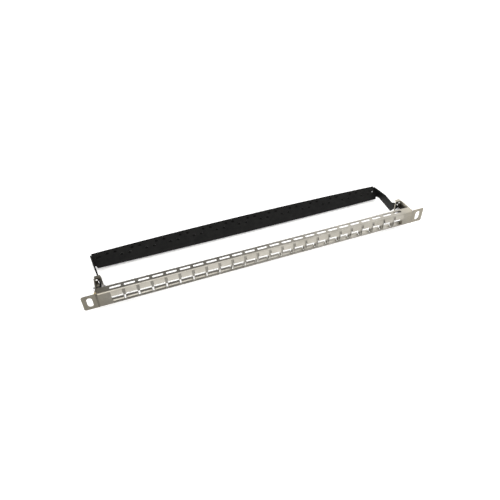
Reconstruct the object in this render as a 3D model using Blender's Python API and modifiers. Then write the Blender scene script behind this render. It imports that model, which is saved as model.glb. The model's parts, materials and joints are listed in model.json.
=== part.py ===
"""Half-unit, 24-port patch panel for 19 inch racks, unloaded, with a tilting rear cable bar.

Every piece is drawn in the panel's own frame: X along the panel to the right, Y to the rear from
the front of the face, Z up from the top of the panel, in metres. One empty carries them all and
seats the assembly with the centre of its footprint on the world origin.
"""
import math

import bmesh
import bpy
from mathutils import Matrix, Vector

# Front panel, one bent sheet.
SHEET = 0.0010
PANEL_HEIGHT = 0.0220
CHANNEL_HALF = 0.2217
TOP_FLANGE_DEPTH = 0.0108
FLOOR_DEPTH = 0.0087
FLOOR_STEP = 0.0013
FLOOR_STEP_Y = 0.0041
BEND_RADIUS = 0.0016
BEND_STEPS = 5

# Rack ears, set back from the face by a joggle.
EAR_HALF_SPAN = 0.2413
EAR_SETBACK = 0.0009
EAR_INNER = 0.2245
EAR_FULL_HEIGHT_FROM = 0.2227
EAR_CORNER = 0.0024
JOGGLE_START = 0.2223
NECK_START = 0.2211
NECK_MARGIN = 0.0018
RACK_SLOT_X = 0.23255
RACK_SLOT_WIDTH = 0.0068
RACK_SLOT_HEIGHT = 0.0144

# Ports.
PORT_COUNT = 24
PORT_PITCH = 0.0174
PORT_WIDTH = 0.0142
PORT_TOP = -0.0080
PORT_BOTTOM = -0.0194
PORT_CORNER = 0.0005
HOOD_BOTTOM = -0.0078
HOOD_REACH = 0.0016
HOOD_WIDTH = 0.0137
HOOD_LEAD = 0.0001
HOOD_LEAD_TOP = -0.0012
GUIDE_SHEET = 0.0004
GUIDE_DEPTH = 0.0052
GUIDE_CORNER = 0.0012
GUIDE_TOP = -0.0086
GUIDE_BOTTOM = -0.0190
WINDOW_WIDTH = 0.0021
WINDOW_TOP = -0.0115
WINDOW_BOTTOM = -0.0185
LATCH_SLOT_LENGTH = 0.0137
LATCH_SLOT_FRONT = 0.0042
LATCH_SLOT_REAR = 0.0082
LATCH_SLOT_CORNER = 0.0014
FLOOR_NOTCH_WIDTH = 0.0025
FLOOR_NOTCH_FRONT = 0.0036

# Brackets.
BRACKET_SHEET = 0.0012
BRACKET_BEND = 0.0018
BRACKET_OUTER_X = 0.2232
BRACKET_FOOT_X = 0.2100
BRACKET_FRONT_Y = 0.0013
BRACKET_REAR_Y = 0.0304
BRACKET_TOP = -0.0003
BRACKET_BOTTOM = -0.0217
FOOT_TOP = -0.00135
FOOT_BOTTOM = -0.02065
FOOT_CLEAR_X = 0.22195
FOOT_CLEAR_Y = 0.0130
TAB_INNER_X = 0.2137
LIP_INNER_X = 0.2145
LIP_OUTER_X = 0.2225
LIP_REAR_Y = 0.0342
LIP_CORNER = 0.0016
LIP_ROOT = 0.0009
TAB_SLOT_INNER = 0.2158
TAB_SLOT_OUTER = 0.2188
TAB_SLOT_TOP = -0.0050
TAB_SLOT_BOTTOM = -0.0190
TAB_HOLE_X = 0.2202
TAB_HOLE_Z = -0.0035
TAB_HOLE_R = 0.00135

# Cable bar: a tilted perforated plate with a flange behind it and an arm at each end.
BAR_SHEET = 0.0015
BAR_WIDTH = 0.0222
BAR_TILT = math.radians(31.5)
BAR_REAR_Y = 0.1026
BAR_REAR_Z = -0.0180
BAR_TOP_HALF = 0.2220
BAR_LOW_HALF = 0.2197
BAR_CORNER = 0.0008
REAR_CROWN = 0.0029
FRONT_CROWN = 0.0011
CROWN_STEPS = 24
ROOT_FROM = 0.0022
ROOT_TO = 0.0186
ROOT_TOP_X = 0.2251
ROOT_LOW_X = 0.2235
ROOT_PROUD = 0.0002
ROOT_RELIEF = 0.0014
ROOT_RELIEF_STEP = 0.0004
TIE_HOLE_LENGTH = 0.0047
TIE_HOLE_WIDTH = 0.0036
TIE_HOLE_SPACING = 0.0110
TIE_ROW_UPPER = 0.0051
TIE_ROW_LOWER = 0.0113
TIE_SHIFT_UPPER = 0.0022
TIE_SHIFT_LOWER = 0.0040
END_HOLE_X = 0.2158
END_HOLE_S = 0.0071
END_HOLE_LENGTH = 0.0080
END_HOLE_WIDTH = 0.0036
END_HOLE_LEAN = math.radians(20)
END_SLIT_FROM = 0.2132
END_SLIT_TO = 0.2216
END_SLIT_S = 0.0130
END_SLIT_WIDTH = 0.0011
END_SLIT_DEPTH = 0.0008

# Flange folded down from the plate's rear edge.
FOLD_RADIUS = 0.0018
FOLD_CORNER = -0.0020
FLANGE_BOTTOM = -0.0344
FLANGE_OVERLAP = 0.0026
FLANGE_END = -0.0018

# Arms of the bar, seen from the side.
ARM_SHEET = 0.0020
ARM_MID_X = 0.2173
ARM_TOE = 0.119
ARM_START_Y = 0.0340
ARM_TOP = -0.0122
ARM_BOTTOM = -0.0261
ARM_KNEE_Y = 0.0661
ARM_HEEL_Y = 0.0794
ARM_SHOULDER_Y = 0.0440
ARM_THROAT_Y = 0.0380
ARM_CHIN_Y = 0.0420
TONGUE_HALF = 0.0040
TONGUE_TIP_Y = 0.0160
TONGUE_TIP_CORNER = 0.0030
TONGUE_OVERLAP = 0.0030

# Hinge of the bar, and its fasteners.
PIVOT_Y = 0.0220
PIVOT_Z = -0.0120
GAP = 0.0003
SHANK_R = 0.0020
HOLE_R = 0.0023
WASHER_R = 0.0045
WASHER_THICK = 0.0008
EDGE_SHARE = 0.2
HEAD_R = 0.0038
HEAD_HEIGHT = 0.0025
HEAD_RIM = 0.0009
HEAD_FLAT_SHARE = 0.62
HEAD_SHOULDER_SHARE = 0.86
HEAD_SHOULDER_DROP = 0.18
HEAD_CHAMFER = 0.0002
DRIVE_R = 0.0013
DRIVE_DEPTH = 0.0014
SPACER_R = 0.0036
NUT_ACROSS_FLATS = 0.0070
NUT_HEIGHT = 0.0032
NUT_COLLAR_R = 0.0030
NUT_COLLAR = 0.0008
SHANK_TAIL = 0.0007
SHANK_CHAMFER = 0.0005
ROUND_STEPS = 24

# Earthing screw of the left bracket.
EARTH_Y = 0.0122
EARTH_Z = -0.0120
EARTH_TEETH = 12
EARTH_TOOTH_DEPTH = 0.0005
EARTH_TAIL = 0.0010

# How far a cutter runs past what it cuts, the offset that keeps two drawn faces out of one plane,
# and the distance within which doubled points are merged.
CUT_OVER = 0.0020
CLEAR = 0.00005
MERGE = 0.000001


def port_x(index):
    """X of the centre of a port, counted from the left."""
    return (index - (PORT_COUNT - 1) / 2) * PORT_PITCH


def make_collection(name):
    collection = bpy.data.collections.new(name)
    bpy.context.scene.collection.children.link(collection)
    return collection


def make_material(name, colour, roughness, metallic):
    material = bpy.data.materials.new(name)
    material.use_nodes = True
    shader = material.node_tree.nodes["Principled BSDF"]
    shader.inputs["Base Color"].default_value = (*colour, 1.0)
    shader.inputs["Roughness"].default_value = roughness
    shader.inputs["Metallic"].default_value = metallic
    return material


def arc(centre_x, centre_y, radius, start, end, steps):
    """Points on an arc, in degrees, both ends included."""
    points = []
    for step in range(steps + 1):
        angle = math.radians(start + (end - start) * step / steps)
        points.append((centre_x + radius * math.cos(angle), centre_y + radius * math.sin(angle)))
    return points


def circle(centre_x, centre_y, radius, steps=ROUND_STEPS):
    return arc(centre_x, centre_y, radius, 0, 360 - 360 / steps, steps - 1)


def rounded_box(left, right, low, high, corner, steps=4):
    """Outline of a rectangle with round corners, anticlockwise."""
    points = arc(right - corner, low + corner, corner, -90, 0, steps)
    points += arc(right - corner, high - corner, corner, 0, 90, steps)
    points += arc(left + corner, high - corner, corner, 90, 180, steps)
    points += arc(left + corner, low + corner, corner, 180, 270, steps)
    return points


def box_outline(left, right, low, high):
    return [(left, low), (right, low), (right, high), (left, high)]


def slot_outline(centre_x, centre_y, length, width, steps=6):
    """Outline of a slot with round ends, along the first axis."""
    reach = (length - width) / 2
    points = arc(centre_x + reach, centre_y, width / 2, -90, 90, steps)
    points += arc(centre_x - reach, centre_y, width / 2, 90, 270, steps)
    return points


def outline_mesh(name, loops, thickness):
    """Mesh of a flat outline, holes included, extruded evenly to both sides of its plane."""
    curve = bpy.data.curves.new(name, "CURVE")
    curve.dimensions = "2D"
    curve.fill_mode = "BOTH"
    curve.extrude = thickness / 2
    for loop in loops:
        spline = curve.splines.new("POLY")
        spline.points.add(len(loop) - 1)
        for point, (x, y) in zip(spline.points, loop):
            point.co = (x, y, 0, 1)
        spline.use_cyclic_u = True
    guide = bpy.data.objects.new(name, curve)
    bpy.context.scene.collection.objects.link(guide)
    bpy.context.view_layer.update()
    mesh = bpy.data.meshes.new_from_object(guide.evaluated_get(bpy.context.evaluated_depsgraph_get()))
    bpy.data.objects.remove(guide)
    bpy.data.curves.remove(curve)
    shape = bmesh.new()
    shape.from_mesh(mesh)
    bmesh.ops.remove_doubles(shape, verts=shape.verts, dist=MERGE)
    bmesh.ops.recalc_face_normals(shape, faces=shape.faces)
    shape.to_mesh(mesh)
    shape.free()
    mesh.name = name
    return mesh


def plan_mesh(name, loops, low, high):
    """An outline in X and Y, extruded from one height to another."""
    mesh = outline_mesh(name, loops, high - low)
    mesh.transform(Matrix.Translation((0, 0, (low + high) / 2)))
    return mesh


def front_mesh(name, loops, front, rear):
    """An outline in X and Z, extruded from the front to the rear."""
    mesh = outline_mesh(name, loops, rear - front)
    mesh.transform(Matrix.Rotation(math.radians(90), 4, "X"))
    mesh.transform(Matrix.Translation((0, (front + rear) / 2, 0)))
    return mesh


def side_mesh(name, loops, left, right):
    """An outline in Y and Z, extruded from left to right."""
    mesh = outline_mesh(name, loops, right - left)
    swap = Matrix(((0, 0, 1, 0), (1, 0, 0, 0), (0, 1, 0, 0), (0, 0, 0, 1)))
    mesh.transform(swap)
    mesh.transform(Matrix.Translation(((left + right) / 2, 0, 0)))
    return mesh


def join_meshes(name, meshes):
    """One mesh holding several separate solids."""
    shape = bmesh.new()
    for mesh in meshes:
        shape.from_mesh(mesh)
    joined = bpy.data.meshes.new(name)
    shape.to_mesh(joined)
    shape.free()
    return joined


class Build:
    """Puts pieces and cutters into the scene, under the empty that seats the assembly."""

    def __init__(self):
        self.parts = make_collection("patch_panel")
        self.cutters = make_collection("cutters")
        self.root = bpy.data.objects.new("panel_frame", None)
        self.parts.objects.link(self.root)

    def piece(self, name, mesh, material, origin=(0, 0, 0)):
        piece = bpy.data.objects.new(name, mesh)
        mesh.transform(Matrix.Translation(-Vector(origin)))
        mesh.materials.clear()
        mesh.materials.append(material)
        piece.location = origin
        piece.parent = self.root
        self.parts.objects.link(piece)
        return piece

    def combine(self, piece, mesh, operation):
        """Adds a Boolean of a mesh drawn in the panel's frame."""
        tool = bpy.data.objects.new(piece.name + "_" + operation.lower(), mesh)
        tool.parent = self.root
        tool.hide_render = True
        tool.display_type = "WIRE"
        self.cutters.objects.link(tool)
        boolean = piece.modifiers.new(operation.lower(), "BOOLEAN")
        boolean.operation = operation
        boolean.solver = "EXACT"
        boolean.object = tool


def channel_mesh():
    """The panel's section, a C with a step up in its floor, drawn out along X."""
    inner = BEND_RADIUS - SHEET
    bottom = -PANEL_HEIGHT
    outline = [(TOP_FLANGE_DEPTH, 0)]
    outline += arc(BEND_RADIUS, -BEND_RADIUS, BEND_RADIUS, 90, 180, BEND_STEPS)
    outline += arc(BEND_RADIUS, bottom + BEND_RADIUS, BEND_RADIUS, 180, 270, BEND_STEPS)
    raised = bottom + FLOOR_STEP
    mitre = SHEET * math.tan(math.radians(22.5))
    outline += [(FLOOR_STEP_Y, bottom), (FLOOR_STEP_Y + FLOOR_STEP, raised), (FLOOR_DEPTH, raised)]
    outline += [(FLOOR_DEPTH, raised + SHEET), (FLOOR_STEP_Y + FLOOR_STEP - mitre, raised + SHEET)]
    outline += [(FLOOR_STEP_Y - mitre, bottom + SHEET)]
    outline += arc(BEND_RADIUS, bottom + BEND_RADIUS, inner, 270, 180, BEND_STEPS)
    outline += arc(BEND_RADIUS, -BEND_RADIUS, inner, 180, 90, BEND_STEPS)
    outline += [(TOP_FLANGE_DEPTH, -SHEET)]
    return side_mesh("channel", [outline], -CHANNEL_HALF, CHANNEL_HALF)


def mirrored(points, side):
    """Outline points with X turned to the given side, 1 or -1."""
    return [(side * x, y) for x, y in points]


def ear_plan_mesh(side):
    """Ear, joggle and neck seen from above, full height."""
    back = EAR_SETBACK + SHEET
    points = [(NECK_START, 0), (JOGGLE_START, 0), (EAR_INNER, EAR_SETBACK)]
    points += [(EAR_HALF_SPAN + CUT_OVER, EAR_SETBACK), (EAR_HALF_SPAN + CUT_OVER, back)]
    points += [(EAR_INNER - SHEET / 3, back), (JOGGLE_START - SHEET / 3, SHEET), (NECK_START, SHEET)]
    return plan_mesh("ear", [mirrored(points, side)], -PANEL_HEIGHT - CUT_OVER, CUT_OVER)


def ear_face_mesh(side):
    """Ear seen from the front: neck, round corners and the rack slot."""
    bottom = -PANEL_HEIGHT
    neck_bottom = bottom + NECK_MARGIN
    points = [(NECK_START - CUT_OVER, neck_bottom), (EAR_FULL_HEIGHT_FROM, neck_bottom)]
    points += [(EAR_FULL_HEIGHT_FROM, bottom)]
    points += arc(EAR_HALF_SPAN - EAR_CORNER, bottom + EAR_CORNER, EAR_CORNER, -90, 0, 6)
    points += arc(EAR_HALF_SPAN - EAR_CORNER, -EAR_CORNER, EAR_CORNER, 0, 90, 6)
    points += [(EAR_FULL_HEIGHT_FROM, 0), (EAR_FULL_HEIGHT_FROM, -NECK_MARGIN)]
    points += [(NECK_START - CUT_OVER, -NECK_MARGIN)]
    middle = bottom / 2
    slot = slot_outline(0, 0, RACK_SLOT_HEIGHT, RACK_SLOT_WIDTH, 10)
    slot = [(RACK_SLOT_X + y, middle + x) for x, y in slot]
    loops = [mirrored(points, side), mirrored(slot, side)]
    return front_mesh("ear_face", loops, -CUT_OVER, EAR_SETBACK + SHEET + CUT_OVER)


def ear_mesh(build, side):
    """The ear as a mesh: its plan cut to its front outline."""
    ear = bpy.data.objects.new("ear_blank", ear_plan_mesh(side))
    face = bpy.data.objects.new("ear_outline", ear_face_mesh(side))
    for blank in (ear, face):
        build.cutters.objects.link(blank)
        blank.hide_render = True
        blank.display_type = "WIRE"
    trim = ear.modifiers.new("trim", "BOOLEAN")
    trim.operation = "INTERSECT"
    trim.solver = "EXACT"
    trim.object = face
    bpy.context.view_layer.update()
    mesh = bpy.data.meshes.new_from_object(ear.evaluated_get(bpy.context.evaluated_depsgraph_get()))
    bpy.data.objects.remove(ear)
    bpy.data.objects.remove(face)
    return mesh


def face_cut_mesh():
    """Port openings, and the windows in the dividers between them."""
    loops = []
    half = PORT_WIDTH / 2
    for index in range(PORT_COUNT):
        x = port_x(index)
        loops.append(rounded_box(x - half, x + half, PORT_BOTTOM, PORT_TOP, PORT_CORNER, 2))
    for index in range(PORT_COUNT - 1):
        x = port_x(index) + PORT_PITCH / 2
        loops.append(box_outline(x - WINDOW_WIDTH / 2, x + WINDOW_WIDTH / 2, WINDOW_BOTTOM, WINDOW_TOP))
    return front_mesh("face_cuts", loops, -CUT_OVER, SHEET + GAP)


def top_cut_mesh():
    """The latch slots in the top flange."""
    loops = []
    half = LATCH_SLOT_LENGTH / 2
    for index in range(PORT_COUNT):
        x = port_x(index)
        loops.append(rounded_box(x - half, x + half, LATCH_SLOT_FRONT, LATCH_SLOT_REAR,
                                 LATCH_SLOT_CORNER, 3))
    return plan_mesh("top_cuts", loops, -SHEET - CUT_OVER, CUT_OVER)


def floor_cut_mesh():
    """Notches that part the stepped floor flange into one tongue for each port."""
    loops = []
    for index in range(PORT_COUNT - 1):
        x = port_x(index) + PORT_PITCH / 2
        half = FLOOR_NOTCH_WIDTH / 2
        loops.append(box_outline(x - half, x + half, FLOOR_NOTCH_FRONT, FLOOR_DEPTH + CUT_OVER))
    bottom = -PANEL_HEIGHT
    return plan_mesh("floor_cuts", loops, bottom - CUT_OVER, bottom + FLOOR_STEP + SHEET + CUT_OVER)


def hood_mesh(index):
    """The sloping pad above a port."""
    inside = SHEET / 2
    outline = [(inside, HOOD_LEAD_TOP), (HOOD_LEAD, HOOD_LEAD_TOP)]
    outline += [(-HOOD_REACH, HOOD_BOTTOM), (inside, HOOD_BOTTOM)]
    x = port_x(index)
    return side_mesh("hood", [outline], x - HOOD_WIDTH / 2, x + HOOD_WIDTH / 2)


def guide_mesh(index, side):
    """A guide wall folded back from one side of a port."""
    inner = PORT_WIDTH / 2 + CLEAR
    ends = sorted((port_x(index) + side * inner, port_x(index) + side * (inner + GUIDE_SHEET)))
    corner_y = GUIDE_DEPTH - GUIDE_CORNER
    outline = [(SHEET / 2, GUIDE_TOP), (SHEET / 2, GUIDE_BOTTOM)]
    outline += arc(corner_y, GUIDE_BOTTOM + GUIDE_CORNER, GUIDE_CORNER, -90, 0, 3)
    outline += arc(corner_y, GUIDE_TOP - GUIDE_CORNER, GUIDE_CORNER, 0, 90, 3)
    return side_mesh("guide", [outline], ends[0], ends[1])


def make_front_panel(build, material):
    panel = build.piece("front_panel", channel_mesh(), material)
    build.combine(panel, ear_mesh(build, 1), "UNION")
    build.combine(panel, ear_mesh(build, -1), "UNION")
    build.combine(panel, join_meshes("panel_cuts", [face_cut_mesh(), top_cut_mesh(), floor_cut_mesh()]),
                  "DIFFERENCE")
    formed = []
    for index in range(PORT_COUNT):
        formed += [hood_mesh(index), guide_mesh(index, 1), guide_mesh(index, -1)]
    build.combine(panel, join_meshes("formed_parts", formed), "UNION")


def bracket_strip(side):
    """Foot, side wall and rear tab seen from above."""
    inner = BRACKET_BEND - BRACKET_SHEET
    bend_x = BRACKET_OUTER_X - BRACKET_BEND
    front_bend = BRACKET_FRONT_Y + BRACKET_BEND
    rear_bend = BRACKET_REAR_Y - BRACKET_BEND
    points = [(BRACKET_FOOT_X, BRACKET_FRONT_Y)]
    points += arc(bend_x, front_bend, BRACKET_BEND, -90, 0, BEND_STEPS)
    points += arc(bend_x, rear_bend, BRACKET_BEND, 0, 90, BEND_STEPS)
    points += [(TAB_INNER_X, BRACKET_REAR_Y), (TAB_INNER_X, BRACKET_REAR_Y - BRACKET_SHEET)]
    points += arc(bend_x, rear_bend, inner, 90, 0, BEND_STEPS)
    points += arc(bend_x, front_bend, inner, 0, -90, BEND_STEPS)
    points += [(BRACKET_FOOT_X, BRACKET_FRONT_Y + BRACKET_SHEET)]
    return plan_mesh("strip", [mirrored(points, side)], BRACKET_BOTTOM, BRACKET_TOP)


def bracket_lip(side):
    """The lip folded back along the top of the rear tab."""
    front = BRACKET_REAR_Y - LIP_ROOT
    points = [(LIP_INNER_X, front), (LIP_OUTER_X, front)]
    points += arc(LIP_OUTER_X - LIP_CORNER, LIP_REAR_Y - LIP_CORNER, LIP_CORNER, 0, 90, 4)
    points += arc(LIP_INNER_X + LIP_CORNER, LIP_REAR_Y - LIP_CORNER, LIP_CORNER, 90, 180, 4)
    lip_top = BRACKET_TOP - CLEAR
    return plan_mesh("lip", [mirrored(points, side)], lip_top - BRACKET_SHEET, lip_top)


def round_cut(y, z, radius, left, right):
    """A round cutter along X."""
    return side_mesh("round_cut", [circle(y, z, radius)], left, right)


def make_bracket(build, name, side, material):
    bracket = build.piece(name, bracket_strip(side), material)
    build.combine(bracket, bracket_lip(side), "UNION")
    foot = mirrored(box_outline(BRACKET_FOOT_X - CUT_OVER, FOOT_CLEAR_X, 0, FOOT_CLEAR_Y), side)
    cuts = [plan_mesh("foot_top", [foot], FOOT_TOP, CUT_OVER)]
    cuts.append(plan_mesh("foot_low", [foot], BRACKET_BOTTOM - CUT_OVER, FOOT_BOTTOM))
    slot_middle = ((TAB_SLOT_TOP + TAB_SLOT_BOTTOM) / 2, (TAB_SLOT_INNER + TAB_SLOT_OUTER) / 2)
    slot = slot_outline(slot_middle[0], slot_middle[1], TAB_SLOT_TOP - TAB_SLOT_BOTTOM,
                        TAB_SLOT_OUTER - TAB_SLOT_INNER)
    slot = mirrored([(x, z) for z, x in slot], side)
    hole = mirrored(circle(TAB_HOLE_X, TAB_HOLE_Z, TAB_HOLE_R, 16), side)
    tab_front = BRACKET_REAR_Y - BRACKET_SHEET - GAP
    cuts.append(front_mesh("tab_cuts", [slot, hole], tab_front, BRACKET_REAR_Y + GAP))
    wall = sorted((side * (BRACKET_OUTER_X - BRACKET_SHEET - GAP), side * (BRACKET_OUTER_X + GAP)))
    cuts.append(round_cut(PIVOT_Y, PIVOT_Z, HOLE_R, wall[0], wall[1]))
    if side < 0:
        cuts.append(round_cut(EARTH_Y, EARTH_Z, HOLE_R, wall[0], wall[1]))
    build.combine(bracket, join_meshes("bracket_cuts", cuts), "DIFFERENCE")


def bar_point(along, below):
    """Y and Z on the bar's plate: distance down the slope, and depth below its top face."""
    y = BAR_REAR_Y - along * math.cos(BAR_TILT) + below * math.sin(BAR_TILT)
    z = BAR_REAR_Z - along * math.sin(BAR_TILT) - below * math.cos(BAR_TILT)
    return (y, z)


def tilt_into_place(mesh):
    """Turns a mesh drawn flat, with the plate's rear edge on X, into the plate's place."""
    mesh.transform(Matrix.Rotation(BAR_TILT, 4, "X"))
    mesh.transform(Matrix.Translation((0, BAR_REAR_Y, BAR_REAR_Z)))
    return mesh


def crown(x, height):
    """How far an edge of the bar stands out of a straight line at X, given its height at the middle."""
    return height * (1 - (x / BAR_TOP_HALF) ** 2)


def crown_stations(half):
    """Evenly spaced X from one side to the other, both ends left out."""
    return [half * (2 * step / CROWN_STEPS - 1) for step in range(1, CROWN_STEPS)]


def fold_edge():
    """How far down the slope the fold of the flange starts."""
    return FOLD_CORNER + FOLD_RADIUS / math.tan((math.pi / 2 - BAR_TILT) / 2)


def bar_plate_mesh():
    """The plate before it is perforated, up to where its rear fold starts."""
    edge = fold_edge()
    half = [(BAR_TOP_HALF, edge), (BAR_TOP_HALF, ROOT_FROM), (ROOT_TOP_X, ROOT_FROM + ROOT_PROUD)]
    half += [(ROOT_LOW_X, ROOT_TO - ROOT_PROUD)]
    half += [(BAR_LOW_HALF + ROOT_RELIEF, ROOT_TO)]
    half += [(BAR_LOW_HALF + ROOT_RELIEF_STEP, ROOT_TO + ROOT_RELIEF)]
    half += [(BAR_LOW_HALF, BAR_WIDTH - BAR_CORNER), (BAR_LOW_HALF - BAR_CORNER, BAR_WIDTH)]
    front = [(-x, BAR_WIDTH + crown(x, FRONT_CROWN)) for x in crown_stations(BAR_LOW_HALF - BAR_CORNER)]
    rear = [(x, edge - crown(x, REAR_CROWN)) for x in crown_stations(BAR_TOP_HALF)]
    outline = half + front + [(-x, s) for x, s in reversed(half)] + rear
    return tilt_into_place(plan_mesh("bar_plate", [[(x, -s) for x, s in outline]], -BAR_SHEET, 0))


def bar_flange_mesh():
    """The fold and the upright flange behind the plate, which follow the crown of its rear edge."""
    turn = 90 + math.degrees(BAR_TILT)
    centre_y, centre_z = bar_point(fold_edge(), FOLD_RADIUS)
    inner = FOLD_RADIUS - BAR_SHEET + CLEAR
    outer = FOLD_RADIUS - CLEAR
    outline = [bar_point(FLANGE_OVERLAP, CLEAR)]
    outline += arc(centre_y, centre_z, outer, turn, 0, BEND_STEPS)
    outline += [(centre_y + outer, FLANGE_BOTTOM), (centre_y + inner, FLANGE_BOTTOM)]
    outline += arc(centre_y, centre_z, inner, 0, turn, BEND_STEPS)
    outline += [bar_point(FLANGE_OVERLAP, BAR_SHEET - CLEAR)]
    half = BAR_TOP_HALF - FLANGE_END
    mesh = side_mesh("bar_flange", [outline], -half, half)
    shape = bmesh.new()
    shape.from_mesh(mesh)
    for x in crown_stations(half):
        everything = shape.verts[:] + shape.edges[:] + shape.faces[:]
        bmesh.ops.bisect_plane(shape, geom=everything, plane_co=(x, 0, 0), plane_no=(1, 0, 0))
    for vertex in shape.verts:
        reach = crown(vertex.co.x, REAR_CROWN)
        vertex.co += Vector((0, reach * math.cos(BAR_TILT), reach * math.sin(BAR_TILT)))
    shape.to_mesh(mesh)
    shape.free()
    return mesh


def tie_hole_places():
    """X and distance down the slope of each tie hole: staggered pairs, in rows along the crown."""
    places = []
    for index in range(PORT_COUNT):
        row, shift = (TIE_ROW_LOWER, TIE_SHIFT_LOWER) if index % 2 else (TIE_ROW_UPPER, TIE_SHIFT_UPPER)
        for half in (-TIE_HOLE_SPACING / 2, TIE_HOLE_SPACING / 2):
            x = port_x(index) + shift + half
            places.append((x, row - crown(x, REAR_CROWN)))
    return places


def bar_cut_mesh():
    """The tie holes, and the leaning hole and the shallow groove at each end."""
    loops = [slot_outline(x, -s, TIE_HOLE_LENGTH, TIE_HOLE_WIDTH, 5) for x, s in tie_hole_places()]
    grooves = []
    for side in (-1, 1):
        end_hole = slot_outline(0, 0, END_HOLE_LENGTH, END_HOLE_WIDTH, 5)
        turned = [(x * math.cos(END_HOLE_LEAN) - y * math.sin(END_HOLE_LEAN),
                   x * math.sin(END_HOLE_LEAN) + y * math.cos(END_HOLE_LEAN)) for x, y in end_hole]
        loops.append([(side * (END_HOLE_X - x), y - END_HOLE_S) for x, y in turned])
        slit_x = side * (END_SLIT_FROM + END_SLIT_TO) / 2
        slit_length = END_SLIT_TO - END_SLIT_FROM
        grooves.append(slot_outline(slit_x, -END_SLIT_S, slit_length, END_SLIT_WIDTH, 3))
    holes = plan_mesh("bar_holes", loops, -BAR_SHEET - GAP, GAP)
    groove_cut = plan_mesh("bar_grooves", grooves, -END_SLIT_DEPTH, GAP)
    return tilt_into_place(join_meshes("bar_cuts", [holes, groove_cut]))


def arm_mesh(side):
    """One arm, toed in from the plate's end towards the bracket."""
    tongue_top = PIVOT_Z + TONGUE_HALF
    tongue_bottom = PIVOT_Z - TONGUE_HALF
    outline = [(ARM_START_Y, tongue_top), (ARM_THROAT_Y, tongue_top), (ARM_SHOULDER_Y, ARM_TOP)]
    outline += [(ARM_KNEE_Y, ARM_TOP), bar_point(ROOT_FROM - ROOT_PROUD, 0)]
    outline += [bar_point(ROOT_FROM - ROOT_PROUD, BAR_SHEET + ROOT_PROUD)]
    outline += [bar_point(ROOT_TO + ROOT_PROUD, BAR_SHEET + ROOT_PROUD)]
    outline += [(ARM_HEEL_Y, ARM_BOTTOM), (ARM_CHIN_Y, ARM_BOTTOM)]
    outline += [(ARM_START_Y, tongue_bottom)]
    left = side * ARM_MID_X - ARM_SHEET / 2
    mesh = side_mesh("arm", [outline], left, left + ARM_SHEET)
    toe = Matrix.Identity(4)
    toe[0][1] = side * ARM_TOE
    start = Matrix.Translation((0, ARM_START_Y, 0))
    mesh.transform(start @ toe @ start.inverted())
    return mesh


def tongue_mesh(side):
    """The arm's front end, which passes through the bracket's tab to the pivot."""
    top = PIVOT_Z + TONGUE_HALF - CLEAR
    bottom = PIVOT_Z - TONGUE_HALF + CLEAR
    rear = ARM_START_Y + TONGUE_OVERLAP
    corner = TONGUE_TIP_CORNER
    outline = [(rear, bottom), (rear, top)]
    outline += arc(TONGUE_TIP_Y + corner, top - corner, corner, 90, 180, 6)
    outline += arc(TONGUE_TIP_Y + corner, bottom + corner, corner, 180, 270, 6)
    left = side * ARM_MID_X - ARM_SHEET / 2
    loops = [outline, circle(PIVOT_Y, PIVOT_Z, HOLE_R)]
    return side_mesh("tongue", loops, left + CLEAR, left + ARM_SHEET - CLEAR)


def make_cable_bar(build, material):
    pivot = Vector((0, PIVOT_Y, PIVOT_Z))
    bar = build.piece("cable_bar", bar_plate_mesh(), material, pivot)
    build.combine(bar, bar_flange_mesh(), "UNION")
    for side in (-1, 1):
        build.combine(bar, arm_mesh(side), "UNION")
        build.combine(bar, tongue_mesh(side), "UNION")
    build.combine(bar, bar_cut_mesh(), "DIFFERENCE")


def turned_piece(build, name, profile, side, x, y, z, material):
    """A turned piece with its axis along X. The profile runs from its outer end to its inner end."""
    mesh = bpy.data.meshes.new(name)
    shape = bmesh.new()
    ring = [shape.verts.new((radius, 0, -depth)) for depth, radius in profile]
    for first, second in zip(ring, ring[1:]):
        shape.edges.new((first, second))
    if profile[0][1] > 0:
        shape.edges.new((ring[-1], ring[0]))
    shape.to_mesh(mesh)
    shape.free()
    piece = bpy.data.objects.new(name, mesh)
    mesh.materials.append(material)
    build.parts.objects.link(piece)
    screw = piece.modifiers.new("turn", "SCREW")
    screw.steps = ROUND_STEPS
    screw.render_steps = ROUND_STEPS
    screw.use_merge_vertices = True
    screw.merge_threshold = MERGE
    screw.use_normal_calculate = True
    piece.parent = build.root
    piece.location = (side * x, y, z)
    piece.rotation_euler = (0, side * math.radians(90), 0)
    return piece


def washer_profile(thickness, inner, outer):
    edge = min(thickness, outer - inner) * EDGE_SHARE
    return [(edge, outer), (thickness - edge, outer), (thickness, outer - edge), (thickness, inner),
            (0, inner), (0, outer - edge)]


def make_screw(build, name, side, head_x, tail, y, z, material):
    """A pan-head screw with a hexagon socket; the head's top faces outwards."""
    length = HEAD_HEIGHT + tail
    profile = [(0, 0), (0, HEAD_R * HEAD_FLAT_SHARE)]
    profile += [(HEAD_HEIGHT * HEAD_SHOULDER_DROP, HEAD_R * HEAD_SHOULDER_SHARE), (HEAD_RIM, HEAD_R)]
    profile += [(HEAD_HEIGHT - HEAD_CHAMFER, HEAD_R), (HEAD_HEIGHT, HEAD_R - HEAD_CHAMFER)]
    profile += [(HEAD_HEIGHT, SHANK_R), (length - SHANK_CHAMFER, SHANK_R)]
    profile += [(length, SHANK_R - SHANK_CHAMFER), (length, 0)]
    screw = turned_piece(build, name, profile, side, head_x + HEAD_HEIGHT, y, z, material)
    socket = circle(y, z, DRIVE_R, 6)
    ends = sorted((side * (head_x + HEAD_HEIGHT + GAP), side * (head_x + HEAD_HEIGHT - DRIVE_DEPTH)))
    build.combine(screw, side_mesh("socket", [socket], ends[0], ends[1]), "DIFFERENCE")


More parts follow.
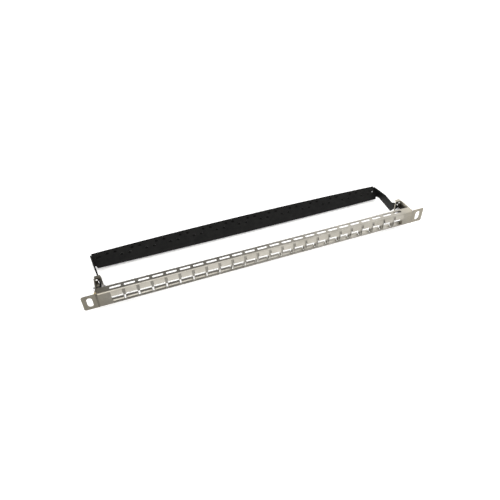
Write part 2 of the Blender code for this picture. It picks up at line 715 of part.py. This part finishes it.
def make_nut(build, name, side, outer_x, y, z, material):
    """A hexagon nut with the round collar of a lock nut on its inner end."""
    corner = NUT_ACROSS_FLATS / math.sqrt(3)
    hexagon = [circle(y, z, corner, 6), circle(y, z, HOLE_R)]
    body = sorted((side * outer_x, side * (outer_x - NUT_HEIGHT + NUT_COLLAR)))
    nut = build.piece(name, side_mesh(name, hexagon, body[0], body[1]), material)
    ring = [circle(y, z, NUT_COLLAR_R), circle(y, z, HOLE_R + CLEAR)]
    collar = sorted((side * (outer_x - NUT_HEIGHT), side * (outer_x - NUT_HEIGHT + 2 * NUT_COLLAR)))
    build.combine(nut, side_mesh("collar", ring, collar[0], collar[1]), "UNION")


def make_hinge(build, suffix, side, materials):
    """Screw, washers, spacer and lock nut that carry one arm of the bar."""
    wall_outer = BRACKET_OUTER_X
    wall_inner = BRACKET_OUTER_X - BRACKET_SHEET
    tongue_outer = ARM_MID_X + ARM_SHEET / 2
    tongue_inner = ARM_MID_X - ARM_SHEET / 2
    washer_x = wall_outer + GAP + WASHER_THICK
    washer = washer_profile(WASHER_THICK, HOLE_R, WASHER_R)
    turned_piece(build, "pivot_washer_outer_" + suffix, washer, side, washer_x, PIVOT_Y, PIVOT_Z,
                 materials["zinc"])
    spacer_length = wall_inner - tongue_outer - 2 * GAP
    spacer = washer_profile(spacer_length, HOLE_R, SPACER_R)
    turned_piece(build, "pivot_spacer_" + suffix, spacer, side, wall_inner - GAP, PIVOT_Y, PIVOT_Z,
                 materials["spacer"])
    turned_piece(build, "pivot_washer_inner_" + suffix, washer, side, tongue_inner - GAP, PIVOT_Y, PIVOT_Z,
                 materials["zinc"])
    nut_x = tongue_inner - 2 * GAP - WASHER_THICK
    make_nut(build, "pivot_nut_" + suffix, side, nut_x, PIVOT_Y, PIVOT_Z, materials["zinc"])
    head_x = washer_x + GAP
    tail = head_x - (nut_x - NUT_HEIGHT) + SHANK_TAIL
    make_screw(build, "pivot_screw_" + suffix, side, head_x, tail, PIVOT_Y, PIVOT_Z, materials["zinc"])


def make_earthing(build, materials):
    """Earthing screw with its toothed washer outside the left bracket and its nut inside."""
    side = -1
    teeth = []
    for tooth in range(2 * EARTH_TEETH):
        radius = WASHER_R - (EARTH_TOOTH_DEPTH if tooth % 2 else 0)
        angle = math.pi * tooth / EARTH_TEETH
        teeth.append((EARTH_Y + radius * math.cos(angle), EARTH_Z + radius * math.sin(angle)))
    hole = circle(EARTH_Y, EARTH_Z, HOLE_R)
    inner = BRACKET_OUTER_X + GAP
    outer = inner + WASHER_THICK
    washer = side_mesh("earth_washer", [teeth, hole], -outer, -inner)
    build.piece("earth_washer", washer, materials["brass"])
    nut_x = BRACKET_OUTER_X - BRACKET_SHEET - GAP
    make_nut(build, "earth_nut", side, nut_x, EARTH_Y, EARTH_Z, materials["brass"])
    head_x = outer + GAP
    tail = head_x - (nut_x - NUT_HEIGHT) + EARTH_TAIL
    make_screw(build, "earth_screw", side, head_x, tail, EARTH_Y, EARTH_Z, materials["brass"])


def seat_on_origin(build):
    """Moves the empty so that the footprint's centre, at the lowest level, is the world origin."""
    bpy.context.view_layer.update()
    graph = bpy.context.evaluated_depsgraph_get()
    corners = []
    for piece in build.parts.objects:
        if piece.type == "MESH":
            shown = piece.evaluated_get(graph)
            corners += [shown.matrix_world @ vertex.co for vertex in shown.data.vertices]
    low = Vector(min(corner[axis] for corner in corners) for axis in range(3))
    high = Vector(max(corner[axis] for corner in corners) for axis in range(3))
    build.root.location = (0, -(low.y + high.y) / 2, -low.z)


def main():
    for old in list(bpy.data.objects):
        bpy.data.objects.remove(old)
    build = Build()
    materials = {
        "stainless": make_material("stainless_sheet", (0.62, 0.60, 0.56), 0.32, 1.0),
        "black": make_material("black_powder_coat", (0.022, 0.022, 0.021), 0.55, 0.0),
        "zinc": make_material("zinc_plated_steel", (0.55, 0.55, 0.57), 0.38, 1.0),
        "spacer": make_material("black_nylon", (0.03, 0.03, 0.03), 0.5, 0.0),
        "brass": make_material("plated_brass", (0.72, 0.58, 0.30), 0.35, 1.0),
    }
    make_front_panel(build, materials["stainless"])
    make_bracket(build, "bracket_left", -1, materials["stainless"])
    make_bracket(build, "bracket_right", 1, materials["stainless"])
    make_cable_bar(build, materials["black"])
    make_hinge(build, "left", -1, materials)
    make_hinge(build, "right", 1, materials)
    make_earthing(build, materials)
    seat_on_origin(build)


main()
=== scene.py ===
"""Looks of the half-unit patch panel: materials, light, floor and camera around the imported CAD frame."""
import json
import math

import bmesh
import bpy
from mathutils import Matrix, Vector


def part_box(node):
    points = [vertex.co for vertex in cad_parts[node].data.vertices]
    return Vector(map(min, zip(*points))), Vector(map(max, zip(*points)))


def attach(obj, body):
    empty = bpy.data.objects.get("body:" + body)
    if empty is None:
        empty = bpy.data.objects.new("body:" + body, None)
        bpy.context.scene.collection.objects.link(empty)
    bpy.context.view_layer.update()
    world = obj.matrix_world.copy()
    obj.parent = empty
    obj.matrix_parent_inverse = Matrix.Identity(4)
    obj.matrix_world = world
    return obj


# How far the pads above the ports stand out of the panel's face.
HOOD_REACH = 0.0016

# Grain of the finishes, as noise cells in a metre along X, Y and Z, or one number for a round grain.
ROLLING_LINES = (40, 4000, 4000)
SHEET_CLOUDS = (30, 60, 60)
HANDLING_MARKS = (160, 700, 700)
TURNING_LINES = (9000, 300, 300)
EVEN = (1, 1, 1)
PEEL_CELLS = 2600.0
DUST_CELLS = 90.0
ZINC_CELLS = 500.0
NYLON_CELLS = 3000.0

# Relief of the finishes, in metres.
LINE_HEIGHT = 0.00002
CLOUD_HEIGHT = 0.0004
PEEL_HEIGHT = 0.00004
NYLON_HEIGHT = 0.00003

# Colours of the finishes, each from the darkest to the lightest of its cloud.
SHEET_TINTS = ((0.25, 0.236, 0.205), (0.35, 0.335, 0.30))
SHEET_STREAK = (0.42, 0.405, 0.37)
ENDS_TONE = (1.0, 0.96, 0.87)
COAT_TINTS = ((0.005, 0.005, 0.005), (0.012, 0.012, 0.0115))
ZINC_TINTS = ((0.48, 0.48, 0.50), (0.62, 0.62, 0.64))
BRASS_TINTS = ((0.62, 0.48, 0.24), (0.78, 0.64, 0.36))
NYLON_TINTS = ((0.022, 0.022, 0.022), (0.04, 0.04, 0.04))

# Roughness of the finishes, from the smoothest to the dullest place.
SHEET_ROUGHNESS = (0.26, 0.44)
LINE_ROUGHNESS = (-0.03, 0.03)
COAT_ROUGHNESS = (0.42, 0.60)
TURNED_ROUGHNESS = (0.28, 0.45)
NYLON_ROUGHNESS = 0.5
COAT_SHINE = 0.06

# How much of the streak colour the rolling lines take, and how much of the brown tone the ends take.
STREAK_SHARE = 0.35
ENDS_SHARE = 0.8

# Where along the panel the browner tone of its ends begins and is full.
ENDS_FROM = 0.195
ENDS_TO = 0.225

# The middle stretch of a noise, which a finish spreads over its whole range.
NOISE_LOW = 0.3
NOISE_HIGH = 0.7

# Edge rounding of the sheet pieces, the bar and the nuts.
EDGE_ROUNDING = {
    "front_panel": 0.00008,
    "bracket_left": 0.00015,
    "bracket_right": 0.00015,
    "cable_bar": 0.00020,
    "pivot_nut_left": 0.00025,
    "pivot_nut_right": 0.00025,
    "earth_nut": 0.00025,
}
EDGE_ANGLE = math.radians(40)
EDGE_SEGMENTS = 2

# Screw threads, M4, on the plain shanks of the CAD. A ridge's feet sink a little into the shank.
THREAD_PITCH = 0.0007
THREAD_ROOT = 0.00197
THREAD_CREST = 0.00222
THREAD_FLANK = 0.42
THREAD_SINK = 0.00005
THREAD_STEPS = 24
THREAD_RUN_OUT = 0.0006
SCREW_HEAD = 0.0030

# Camera, from the middle of the panel's top front edge.
CAMERA_PLACE = (-0.1721, -0.4120, 0.3771)
CAMERA_TURN = math.radians(19.3)
CAMERA_DIP = math.radians(40.3)
CAMERA_ROLL = math.radians(-1.9)
CAMERA_LENS = 32.06
CAMERA_NEAR = 0.01

# Floor and light. Each glow is a soft bright patch of the studio around the object: its direction,
# the angles within which it is full and beyond which it is gone, and its strength.
FLOOR_HALF = 6.0
FLOOR_Z = -0.0005
FLOOR_COLOUR = (0.93, 0.93, 0.925)
FLOOR_GLOW = 0.30
STUDIO_GREY = (0.33, 0.327, 0.322)
GLOWS = {
    "overhead": ((0.05, -0.45, 0.90), 12, 36, 2.3),
    "front_high": ((-0.42, -0.72, 0.55), 12, 34, 1.9),
    "front_low": ((0.10, -0.98, -0.06), 12, 40, 1.5),
    "left_rear": ((-0.78, 0.48, 0.40), 10, 28, 1.5),
    "right_rear": ((0.72, 0.52, 0.46), 12, 34, 1.8),
    "front_below": ((0.25, -0.75, -0.60), 20, 60, 0.15),
    "right_below": ((0.75, -0.50, -0.43), 15, 50, 0.65),
    "rear_below": ((-0.55, 0.60, -0.58), 20, 60, 1.8),
}
SOFTBOX_PLACE = (0.62, -0.35, 0.62)
SOFTBOX_TARGET = (0.2, -0.05, 0)
SOFTBOX_WIDTH = 0.6
SOFTBOX_HEIGHT = 0.5
SOFTBOX_POWER = 1.5


class Tree:
    """Short names for building a node tree."""

    def __init__(self, tree):
        self.tree = tree
        tree.nodes.clear()

    def connect(self, socket, value):
        """Links a socket to another one, or gives it a plain value."""
        if isinstance(value, bpy.types.NodeSocket):
            self.tree.links.new(value, socket)
        else:
            socket.default_value = value

    def node(self, kind, settings=None, **inputs):
        made = self.tree.nodes.new(kind)
        for name, value in (settings or {}).items():
            setattr(made, name, value)
        for name, value in inputs.items():
            self.connect(self.find(made, name), value)
        return made

    def find(self, node, name):
        """An input by its name, or by its number for a name such as in_1."""
        if name.startswith("in_"):
            return node.inputs[int(name[3:])]
        wanted = name.replace("_", " ").lower()
        for socket in node.inputs:
            if socket.name.lower() == wanted and socket.enabled:
                return socket
        raise KeyError(f"{node.bl_idname} has no input {name}")

    def place(self, scale):
        """The object's own coordinates, in metres, stretched by three factors."""
        coordinates = self.node("ShaderNodeTexCoord")
        mapping = self.node("ShaderNodeMapping", Vector=coordinates.outputs["Object"], Scale=scale)
        return mapping.outputs["Vector"]

    def noise(self, vector, scale, detail=3.0, roughness=0.5):
        made = self.node("ShaderNodeTexNoise", Vector=vector, Scale=scale, Detail=detail,
                         Roughness=roughness)
        return made.outputs["Fac"]

    def ramp(self, value, tints, low=NOISE_LOW, high=NOISE_HIGH):
        """From a dark to a light colour, between two values."""
        made = self.node("ShaderNodeValToRGB", Fac=value)
        for element, position, colour in zip(made.color_ramp.elements, (low, high), tints):
            element.position = position
            element.color = (*colour, 1.0)
        return made.outputs["Color"]

    def span(self, value, low, high, from_low=0.0, from_high=1.0):
        """A value's range stretched to another range."""
        made = self.node("ShaderNodeMapRange", Value=value, From_Min=from_low, From_Max=from_high,
                         To_Min=low, To_Max=high)
        return made.outputs["Result"]

    def math(self, operation, first, second=0.0):
        made = self.node("ShaderNodeMath", {"operation": operation}, in_0=first, in_1=second)
        return made.outputs["Value"]

    def mix(self, factor, first, second, kind="MIX"):
        """Two colours mixed; the second one is a plain colour."""
        made = self.node("ShaderNodeMix", {"data_type": "RGBA", "blend_type": kind}, in_0=factor)
        colours = [socket for socket in made.inputs if socket.type == "RGBA"]
        self.connect(colours[0], first)
        self.connect(colours[1], (*second, 1.0))
        return next(socket for socket in made.outputs if socket.type == "RGBA")

    def bump(self, height, strength, distance, **normal):
        made = self.node("ShaderNodeBump", Height=height, Strength=strength, Distance=distance, **normal)
        return made.outputs["Normal"]

    def finish(self, **inputs):
        shader = self.node("ShaderNodeBsdfPrincipled", **inputs)
        self.node("ShaderNodeOutputMaterial", Surface=shader.outputs["BSDF"])


def new_material(name):
    material = bpy.data.materials.new(name)
    material.use_nodes = True
    return material, Tree(material.node_tree)


def sheet_metal():
    """Stainless sheet: rolling lines along the panel, faint clouding and handling marks."""
    material, tree = new_material("stainless_sheet_finish")
    lines = tree.noise(tree.place(ROLLING_LINES), 1.0, 2.0)
    cloud = tree.noise(tree.place(SHEET_CLOUDS), 1.0, 4.0, 0.6)
    marks = tree.noise(tree.place(HANDLING_MARKS), 1.0, 5.0, 0.7)
    streak = tree.span(lines, 0.0, STREAK_SHARE, 0.35, NOISE_HIGH)
    streaked = tree.mix(streak, tree.ramp(cloud, SHEET_TINTS), SHEET_STREAK)
    along = tree.node("ShaderNodeSeparateXYZ", Vector=tree.place(EVEN)).outputs["X"]
    ends = tree.span(tree.math("ABSOLUTE", along), 0.0, ENDS_SHARE, ENDS_FROM, ENDS_TO)
    colour = tree.mix(ends, streaked, ENDS_TONE, "MULTIPLY")
    handled = tree.span(marks, *SHEET_ROUGHNESS, NOISE_LOW, NOISE_HIGH)
    rough = tree.math("ADD", handled, tree.span(lines, *LINE_ROUGHNESS))
    rolled = tree.bump(lines, 0.25, LINE_HEIGHT)
    normal = tree.bump(cloud, 0.15, CLOUD_HEIGHT, Normal=rolled)
    tree.finish(Base_Color=colour, Metallic=1.0, Roughness=rough, Normal=normal)
    return material


def powder_coat():
    """Black powder coat with its fine orange peel and a little dust."""
    material, tree = new_material("black_powder_coat_finish")
    peel = tree.noise(tree.place(EVEN), PEEL_CELLS, 2.0)
    dust = tree.noise(tree.place(EVEN), DUST_CELLS, 6.0, 0.65)
    colour = tree.ramp(dust, COAT_TINTS, 0.35, 0.75)
    rough = tree.span(dust, *COAT_ROUGHNESS, NOISE_LOW, NOISE_HIGH)
    normal = tree.bump(peel, 0.35, PEEL_HEIGHT)
    tree.finish(Base_Color=colour, Roughness=rough, Normal=normal, Specular_IOR_Level=COAT_SHINE)
    return material


def turned_metal(name, tints):
    """Plated metal of the fasteners, turned and slightly dulled."""
    material, tree = new_material(name)
    cloud = tree.noise(tree.place(EVEN), ZINC_CELLS, 4.0, 0.6)
    turned = tree.noise(tree.place(TURNING_LINES), 1.0, 2.0)
    rough = tree.span(cloud, *TURNED_ROUGHNESS, NOISE_LOW, NOISE_HIGH)
    normal = tree.bump(turned, 0.2, LINE_HEIGHT)
    tree.finish(Base_Color=tree.ramp(cloud, tints), Metallic=1.0, Roughness=rough, Normal=normal)
    return material


def nylon():
    """Black moulded nylon with a fine grain."""
    material, tree = new_material("black_nylon_finish")
    grain = tree.noise(tree.place(EVEN), NYLON_CELLS, 3.0)
    normal = tree.bump(grain, 0.2, NYLON_HEIGHT)
    tree.finish(Base_Color=tree.ramp(grain, NYLON_TINTS), Roughness=NYLON_ROUGHNESS, Normal=normal)
    return material


def dress(frame):
    """Gives every CAD node its finish."""
    finishes = {
        "stainless_sheet": sheet_metal(),
        "black_powder_coat": powder_coat(),
        "zinc_plated_steel": turned_metal("zinc_plate_finish", ZINC_TINTS),
        "plated_brass": turned_metal("brass_finish", BRASS_TINTS),
        "black_nylon": nylon(),
    }
    for row in frame["record"]["subparts"]:
        piece = frame["nodes"][row["node"]]
        for slot in piece.material_slots:
            slot.material = finishes[row["material_slot"]]
    return finishes


def soften_edges(frame):
    """Rounds the sharp edges of the larger pieces and the nuts."""
    for name, width in EDGE_ROUNDING.items():
        bevel = frame["nodes"][name].modifiers.new("rounded_edges", "BEVEL")
        bevel.width = width
        bevel.segments = EDGE_SEGMENTS
        bevel.limit_method = "ANGLE"
        bevel.angle_limit = EDGE_ANGLE
        bevel.use_clamp_overlap = True


def thread_mesh(name, tail, way, length):
    """A thread ridge along X from the tail end of a screw, way being 1 or -1, as a closed helix."""
    turns = int(length / THREAD_PITCH)
    rings = turns * THREAD_STEPS
    root = THREAD_ROOT - THREAD_SINK
    points = []
    for ring in range(rings + 1):
        angle = 2 * math.pi * ring / THREAD_STEPS
        along = tail[0] + way * THREAD_PITCH * ring / THREAD_STEPS
        out = THREAD_CREST
        if ring < THREAD_STEPS or ring > rings - THREAD_STEPS:
            out = THREAD_ROOT + (THREAD_CREST - THREAD_ROOT) * min(ring, rings - ring) / THREAD_STEPS
        for offset, radius in ((-THREAD_FLANK, root), (0.0, out), (THREAD_FLANK, root)):
            y = tail[1] + radius * math.cos(angle)
            z = tail[2] + radius * math.sin(angle)
            points.append((along + offset * THREAD_PITCH, y, z))
    faces = [(0, 1, 2), (3 * rings + 2, 3 * rings + 1, 3 * rings)]
    for ring in range(rings):
        for corner in range(3):
            first = 3 * ring + corner
            second = 3 * ring + (corner + 1) % 3
            faces.append((first, first + 3, second + 3, second))
    mesh = bpy.data.meshes.new(name)
    mesh.from_pydata(points, [], faces)
    shape = bmesh.new()
    shape.from_mesh(mesh)
    bmesh.ops.recalc_face_normals(shape, faces=shape.faces)
    shape.to_mesh(mesh)
    shape.free()
    return mesh


def make_thread(name, screw, way, finishes, slot):
    """Threads a screw whose tail points to -X for way 1 and to +X for way -1."""
    low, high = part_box(screw)
    tail_x = low[0] if way > 0 else high[0]
    tail = (tail_x + way * THREAD_RUN_OUT, (low[1] + high[1]) / 2, (low[2] + high[2]) / 2)
    length = high[0] - low[0] - SCREW_HEAD - THREAD_RUN_OUT
    thread = bpy.data.objects.new(name, thread_mesh(name, tail, way, length))
    bpy.context.scene.collection.objects.link(thread)
    thread.data.materials.append(finishes[slot])
    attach(thread, "panel")


def make_floor():
    """White paper that glows a little, so that the object's shadow on it stays faint."""
    mesh = bpy.data.meshes.new("floor")
    half = FLOOR_HALF
    corners = [(-half, -half, 0), (half, -half, 0), (half, half, 0), (-half, half, 0)]
    mesh.from_pydata(corners, [], [(0, 1, 2, 3)])
    floor = bpy.data.objects.new("floor", mesh)
    floor.location.z = FLOOR_Z
    bpy.context.scene.collection.objects.link(floor)
    material, tree = new_material("floor_paper")
    tree.finish(Base_Color=(*FLOOR_COLOUR, 1.0), Roughness=0.9, Specular_IOR_Level=0.1,
                Emission_Color=(1.0, 1.0, 1.0, 1.0), Emission_Strength=FLOOR_GLOW)
    mesh.materials.append(material)
    floor.visible_glossy = False


def make_softbox():
    """A small soft light to the right of the camera."""
    lamp = bpy.data.lights.new("right_softbox", "AREA")
    lamp.shape = "RECTANGLE"
    lamp.size = SOFTBOX_WIDTH
    lamp.size_y = SOFTBOX_HEIGHT
    lamp.energy = SOFTBOX_POWER
    light = bpy.data.objects.new("right_softbox", lamp)
    light.location = SOFTBOX_PLACE
    way = Vector(SOFTBOX_TARGET) - Vector(SOFTBOX_PLACE)
    light.rotation_euler = way.to_track_quat("-Z", "Y").to_euler()
    bpy.context.scene.collection.objects.link(light)


def glow(tree, direction, full, gone, strength):
    """Light from one soft patch of the studio, as a value over directions."""
    way = tree.node("ShaderNodeTexCoord").outputs["Generated"]
    toward = tuple(Vector(direction).normalized())
    along = tree.node("ShaderNodeVectorMath", {"operation": "DOT_PRODUCT"}, in_0=way, in_1=toward)
    edges = {"From_Min": math.cos(math.radians(gone)), "From_Max": math.cos(math.radians(full))}
    soft = tree.node("ShaderNodeMapRange", {"interpolation_type": "SMOOTHSTEP"},
                     Value=along.outputs["Value"], To_Min=0.0, To_Max=strength, **edges)
    return soft.outputs["Result"]


def make_light():
    """A grey studio with its glows, and one softbox."""
    world = bpy.data.worlds.new("studio")
    bpy.context.scene.world = world
    world.use_nodes = True
    tree = Tree(world.node_tree)
    level = 1.0
    for direction, full, gone, strength in GLOWS.values():
        patch = glow(tree, direction, full, gone, strength / STUDIO_GREY[0])
        level = tree.math("ADD", patch, level)
    sky = tree.node("ShaderNodeBackground", Color=(*STUDIO_GREY, 1.0), Strength=level)
    tree.node("ShaderNodeOutputWorld", Surface=sky.outputs["Background"])
    make_softbox()


def make_camera(corner):
    """The photograph's view. The corner is the middle of the panel's top front edge."""
    ahead = math.cos(CAMERA_DIP)
    drop = math.sin(CAMERA_DIP)
    forward = Vector((math.sin(CAMERA_TURN) * ahead, math.cos(CAMERA_TURN) * ahead, -drop))
    level = forward.cross(Vector((0, 0, 1))).normalized()
    upright = level.cross(forward)
    right = level * math.cos(CAMERA_ROLL) + upright * math.sin(CAMERA_ROLL)
    up = upright * math.cos(CAMERA_ROLL) - level * math.sin(CAMERA_ROLL)
    data = bpy.data.cameras.new("camera")
    data.lens = CAMERA_LENS
    data.clip_start = CAMERA_NEAR
    camera = bpy.data.objects.new("camera", data)
    turn = Matrix((right, up, -forward)).transposed()
    camera.matrix_world = Matrix.Translation(corner + Vector(CAMERA_PLACE)) @ turn.to_4x4()
    bpy.context.scene.collection.objects.link(camera)
    bpy.context.scene.camera = camera


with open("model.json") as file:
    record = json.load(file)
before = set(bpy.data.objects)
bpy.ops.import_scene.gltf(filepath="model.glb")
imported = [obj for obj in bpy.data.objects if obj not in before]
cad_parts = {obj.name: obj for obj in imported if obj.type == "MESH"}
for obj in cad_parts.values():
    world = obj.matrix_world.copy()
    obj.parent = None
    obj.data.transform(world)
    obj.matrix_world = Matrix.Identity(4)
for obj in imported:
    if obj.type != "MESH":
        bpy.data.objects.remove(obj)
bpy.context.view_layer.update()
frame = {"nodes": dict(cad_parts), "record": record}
panel_low, panel_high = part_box("front_panel")
finishes = dress(frame)
soften_edges(frame)
make_thread("pivot_thread_left", "pivot_screw_left", -1, finishes, "zinc_plated_steel")
make_thread("pivot_thread_right", "pivot_screw_right", 1, finishes, "zinc_plated_steel")
make_thread("earth_thread", "earth_screw", -1, finishes, "plated_brass")
make_floor()
make_light()
make_camera(Vector((0, panel_low[1] + HOOD_REACH, panel_high[2])))
bpy.context.scene.view_settings.view_transform = "Standard"
